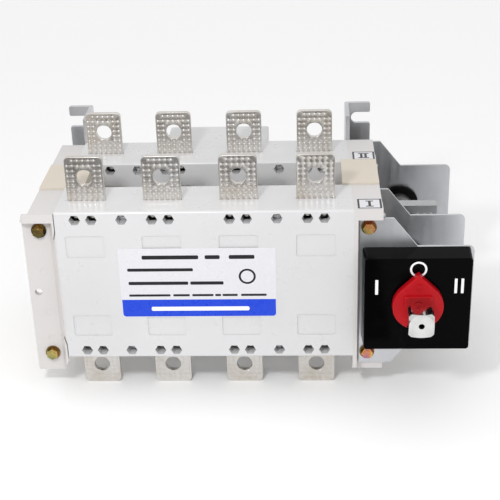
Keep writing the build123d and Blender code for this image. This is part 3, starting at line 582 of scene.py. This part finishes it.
heading = bmesh.new()
slab(heading, rectangle((-34.4, 30.7), (-18.0, -15.0), 1.0), LABEL_FRONT, LABEL_FRONT + INK / 2)
finish_mesh(heading, "label_heading_bar", "ink_white", STATIC)

# ---- Boxed numerals on the unit tags -------------------------------------------------------------------
tags_low, tags_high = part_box("unit_tags")
TAG_X = (tags_low.x / MM, tags_high.x / MM)
TAG_TOP = tags_high.z / MM
TAG_LENGTH = 15.6
tag_starts = (tags_low.y / MM, tags_high.y / MM - TAG_LENGTH)
plates, marks = bmesh.new(), bmesh.new()
for unit, start in enumerate(tag_starts, start=1):
    depth = (start, start + TAG_LENGTH)
    slab(plates, rectangle(TAG_X, depth), TAG_TOP - INK, tags_low.z / MM, "top")
    inset, line, side_line = 0.3, 1.1, 1.3
    x0, x1, y0, y1 = TAG_X[0] + inset, TAG_X[1] - inset, depth[0] + inset, depth[1] - inset
    for x, y in (((x0, x1), (y0, y0 + line)), ((x0, x1), (y1 - line, y1)),
                 ((x0, x0 + side_line), (y0 + line, y1 - line)), ((x1 - side_line, x1), (y0 + line, y1 - line))):
        slab(marks, rectangle(x, y), TAG_TOP, TAG_TOP - INK, "top")
    middle_x, bottom, top = (x0 + x1) / 2, y0 + 2.8, y1 - 2.8
    stems = (0.0,) if unit == 1 else (-1.5, 1.5)
    for shift in stems:
        slab(marks, rectangle((middle_x + shift - 0.85, middle_x + shift + 0.85), (bottom + 1.3, top - 1.3)),
             TAG_TOP, TAG_TOP - INK, "top")
    serif = 2.4 if unit == 1 else 3.8
    for y in ((bottom, bottom + 1.3), (top - 1.3, top)):
        slab(marks, rectangle((middle_x - serif, middle_x + serif), y), TAG_TOP, TAG_TOP - INK, "top")
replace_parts(finish_mesh(plates, "tag_plates", "label_film", STATIC), "unit_tags")
finish_mesh(marks, "tag_marks", "ink_black", STATIC)

# ---- Position marks on the handle panel ----------------------------------------------------------------
PANEL_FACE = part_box("handle_panel")[0].y / MM
shaft_low, shaft_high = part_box("drive_shaft")
AXIS = ((shaft_low.x + shaft_high.x) / 2 / MM, (shaft_low.z + shaft_high.z) / 2 / MM)
MARK = 0.06
signs = bmesh.new()
BAR_HALF_LENGTH = 5.3
# Centres of the marks from the shaft's axis, and half the width of each bar.
ring(signs, (AXIS[0], AXIS[1] + 24.65), 5.5, 4.2, PANEL_FACE - MARK, PANEL_FACE)
for dx, dz, half in ((-26.5, 11.9, 0.95), (24.2, 12.6, 0.88), (28.4, 12.6, 0.88)):
    x, z = AXIS[0] + dx, AXIS[1] + dz
    bar = rectangle((x - half, x + half), (z - BAR_HALF_LENGTH, z + BAR_HALF_LENGTH), 0.3)
    slab(signs, bar, PANEL_FACE - MARK, PANEL_FACE)
finish_mesh(signs, "position_marks", "ink_white", STATIC)

# ---- Edges of the moulded and sheet parts --------------------------------------------------------------
soften([n for n in nodes if n.startswith(("front_cover", "rear_housing", "left_end", "right_end"))], 0.5)
soften(["left_spacer", "right_spacer", "rear_foot"], 0.4)
soften(["front_plate", "middle_plate", "rear_plate", "left_bracket", "right_bracket"], 0.3)

# ---- Floor, light and camera ---------------------------------------------------------------------------
low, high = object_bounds()
FLOOR_SIZE = 6.0
floor_mesh = bmesh.new()
bmesh.ops.create_grid(floor_mesh, x_segments=1, y_segments=1, size=FLOOR_SIZE / 2)
floor_data = bpy.data.meshes.new("floor")
floor_mesh.to_mesh(floor_data)
floor_mesh.free()
floor = bpy.data.objects.new("floor", floor_data)
floor.location = (0, 0, low.z)
bpy.context.scene.collection.objects.link(floor)
floor_shader = Shader("floor", (0.98, 0.98, 0.98), 0.6)
floor_data.materials.append(floor_shader.material)

world = bpy.data.worlds.new("studio")
world.use_nodes = True
background = world.node_tree.nodes["Background"]
background.inputs["Color"].default_value = (1.0, 1.0, 1.0, 1)
background.inputs["Strength"].default_value = 0.92
bpy.context.scene.world = world


def softbox(name, place, target, size, power):
    """Square area light at `place`, aimed at `target`."""
    data = bpy.data.lights.new(name, "AREA")
    data.shape = "SQUARE"
    data.size = size
    data.energy = power
    light = bpy.data.objects.new(name, data)
    bpy.context.scene.collection.objects.link(light)
    light.location = place
    light.rotation_mode = "QUATERNION"
    light.rotation_quaternion = (Vector(place) - Vector(target)).to_track_quat("Z", "Y")


softbox("key", (-0.090, -0.559, 0.384), (0.02, -0.11, 0.02), 0.06, 1.35)

# A dark card lies in front of the switch, so that its upright metal does not mirror only white floor.
card_mesh = bmesh.new()
bmesh.ops.create_grid(card_mesh, x_segments=1, y_segments=1, size=0.5)
card_data = bpy.data.meshes.new("dark_card")
card_mesh.to_mesh(card_data)
card_mesh.free()
card = bpy.data.objects.new("dark_card", card_data)
card.location = (-0.535, -0.925, low.z + 0.001)
card.scale = (1.33, 1.35, 1)
bpy.context.scene.collection.objects.link(card)
card_data.materials.append(Shader("dark_card", (0.11, 0.11, 0.115), 0.8).material)
card.visible_camera = False
card.visible_diffuse = False
card.visible_shadow = False

camera_data = bpy.data.cameras.new("camera")
camera_data.sensor_width = 36.0
camera_data.lens = 84.25
camera_data.clip_start = 0.05
camera = bpy.data.objects.new("camera", camera_data)
bpy.context.scene.collection.objects.link(camera)
right = Vector((0.998778, 0.040128, -0.028847))
up = Vector((0.008377, 0.437785, 0.899040))
backward = -Vector((-0.048706, 0.898183, -0.436914))
turn = Matrix((right, up, backward)).transposed()
camera.matrix_world = Matrix.Translation((0.06912, -0.83776, 0.35701)) @ turn.to_4x4()
bpy.context.scene.camera = camera
bpy.context.scene.view_settings.view_transform = "Standard"
